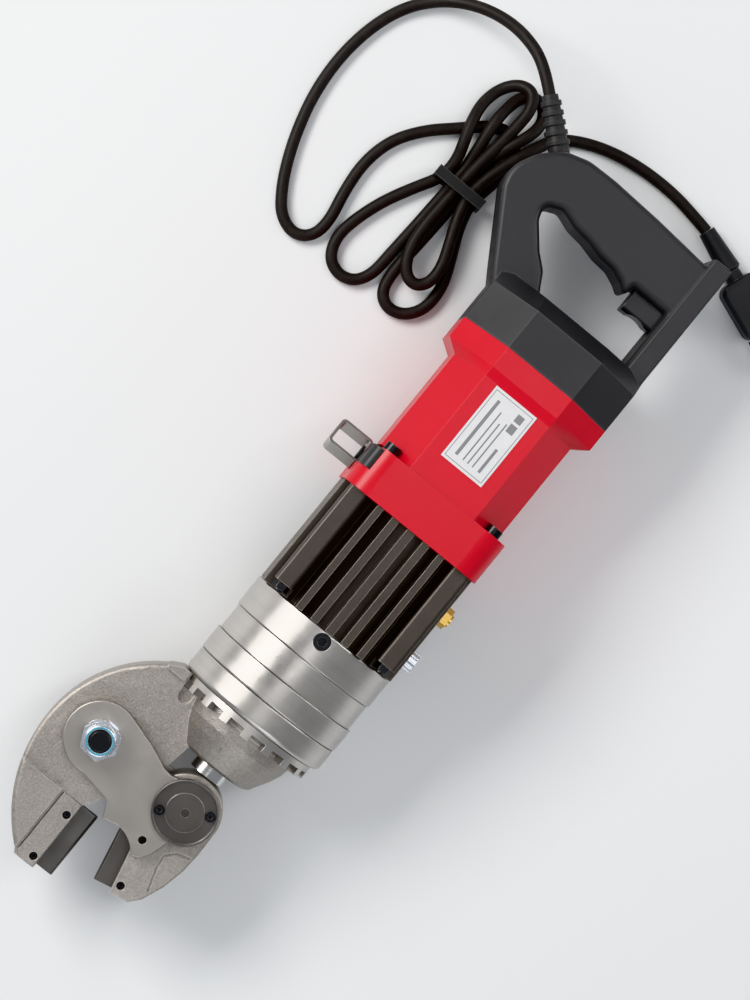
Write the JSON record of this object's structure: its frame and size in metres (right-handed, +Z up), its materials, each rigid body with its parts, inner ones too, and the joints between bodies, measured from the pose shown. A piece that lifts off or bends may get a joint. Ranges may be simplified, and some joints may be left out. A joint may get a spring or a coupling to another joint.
{
  "type": "rebar cutter",
  "caption": "Hand-held electric hydraulic rebar cutter with a C-shaped head, finned pump body, motor and D handle with mains cord.",
  "frame": {"origin": "centre of the tool's footprint, at the lowest face that it lies on, cord and plug not counted", "axes": "+X along the tool from the cutting head to the handle, +Y from the trigger side to the pivot side, +Z up from the surface it lies on, out of its near side"},
  "size_m": [0.5028, 0.2957, 0.088],
  "materials": {
    "cast_head": "shot-blasted casting, satin, a little darker at the jaw tips",
    "ring_steel": "turned and nickel plated, fine rings of lathe marks",
    "link_steel": "satin flat stock with rubbed edges",
    "blade_steel": "hardened and blued, ground bright on the cutting faces",
    "zinc": "bright zinc plate",
    "black_steel": "black oxide",
    "pin_cap": "dark phosphate with a turned rim",
    "ground_steel": "ground and polished",
    "steel": "machined",
    "bronze": "bearing bronze",
    "copper": "copper",
    "oil_brass": "bright brass",
    "bare_aluminium": "die cast, machined on the faces",
    "black_rubber": "matte rubber",
    "fin_casting": "dark bronze lacquer on cast fins, lighter along the crests",
    "red_paint": "satin red enamel on a die casting",
    "lamination": "stacked steel sheet",
    "fan_plastic": "moulded",
    "brush_holder": "brown moulded insulation with carbon brushes",
    "label_foil": "printed foil, plain",
    "strap_steel": "satin bent strip",
    "bracket_black": "black paint",
    "handle_plastic": "fine-grained moulding, polished at the edges by hands",
    "trigger_plastic": "moulded, slightly glossy",
    "switch_plastic": "moulded",
    "cord_rubber": "dull rubber sheath",
    "relief_rubber": "moulded ribs",
    "tie_plastic": "flat tie",
    "plug_rubber": "moulded plug with nickel pins"
  },
  "bodies": {
    "root": {"head_frame": "cast_head", "fixed_cutter_block": "blade_steel", "fixed_block_screws": "black_steel", "rod_bush": "bronze", "head_lock_ring": "ring_steel", "front_ring": "ring_steel", "middle_ring": "ring_steel", "cylinder": "ring_steel", "rear_clamp_ring": "ring_steel", "ring_set_screws": "black_steel", "return_spring": "steel", "valve_plate": "steel", "pump_block": "steel", "pump_plungers": "ground_steel", "oil_bladder": "black_rubber", "pump_housing": "fin_casting", "oil_plug": "oil_brass", "gear_plate": "bare_aluminium", "housing_screws": "black_steel", "motor_housing": "red_paint", "motor_end_plate": "bare_aluminium", "stator_core": "lamination", "field_coils": "copper", "brush_gear": "brush_holder", "shaft_bearings": "steel", "rating_label": "label_foil", "hanger_bracket": "bracket_black", "handle_shell_near": "handle_plastic", "handle_shell_far": "handle_plastic", "handle_screws": "black_steel", "switch_body": "switch_plastic", "strain_relief": "relief_rubber", "cord_lead": "cord_rubber", "cord_tail": "cord_rubber", "cord_hank": "cord_rubber", "cord_tie": "tie_plastic", "mains_plug": "plug_rubber"},
    "arm": {"link_plate_near": "link_steel", "link_plate_far": "link_steel", "moving_jaw": "cast_head", "moving_cutter_block": "blade_steel", "moving_block_screws": "black_steel", "drive_pin": "pin_cap", "pivot_bolt": "black_steel", "pivot_nut": "zinc", "pivot_washers": "zinc", "pin_caps": "pin_cap", "pin_cap_screws": "black_steel"},
    "ram": {"piston": "steel", "piston_rod": "ground_steel"},
    "trigger_body": {"trigger": "trigger_plastic"},
    "release": {"release_valve": "zinc"},
    "hanger": {"hanger_loop": "strap_steel"},
    "rotor": {"armature_shaft": "ground_steel", "armature_core": "lamination", "commutator": "copper", "cooling_fan": "fan_plastic"},
    "eccentric": {"eccentric_shaft": "ground_steel", "eccentric_ring": "bronze", "drive_gear": "steel"}
  },
  "joints": [
    {"name": "jaw_swing", "type": "hinge", "parent": "root", "child": "arm", "pos_m": [-0.1593, 0.03744, 0.044], "axis": [0, 0, -1], "range_deg": [0, 21], "stiffness_Nm_per_rad": 2, "springref_deg": -20.05},
    {"name": "piston_slide", "type": "slide", "parent": "root", "child": "ram", "axis": [-1, 0, 0], "range_m": [0, 0.0206], "deforming": ["return_spring"]},
    {"name": "trigger_press", "type": "slide", "parent": "root", "child": "trigger_body", "axis": [1, 0, 0], "range_m": [0, 0.005], "stiffness_N_per_m": 600, "springref_m": -0.003},
    {"name": "release_turn", "type": "hinge", "parent": "root", "child": "release", "pos_m": [-0.0288, -0.06256, 0.044], "axis": [0, -1, 0], "range_deg": [0, 270]},
    {"name": "hanger_swivel", "type": "hinge", "parent": "root", "child": "hanger", "pos_m": [0.0387, 0.03243, 0.044], "axis": [0, 1, 0], "continuous": true},
    {"name": "motor_spin", "type": "hinge", "parent": "root", "child": "rotor", "pos_m": [0.0567, -0.01757, 0.044], "axis": [1, 0, 0], "continuous": true},
    {"name": "eccentric_spin", "type": "hinge", "parent": "root", "child": "eccentric", "pos_m": [0.0067, -0.00216, 0.044], "axis": [1, 0, 0], "continuous": true}
  ],
  "couplings": [
    {"joint": "piston_slide", "follows": "jaw_swing", "m_per_rad": 0.0557},
    {"joint": "eccentric_spin", "follows": "motor_spin", "ratio": -0.25714}
  ]
}
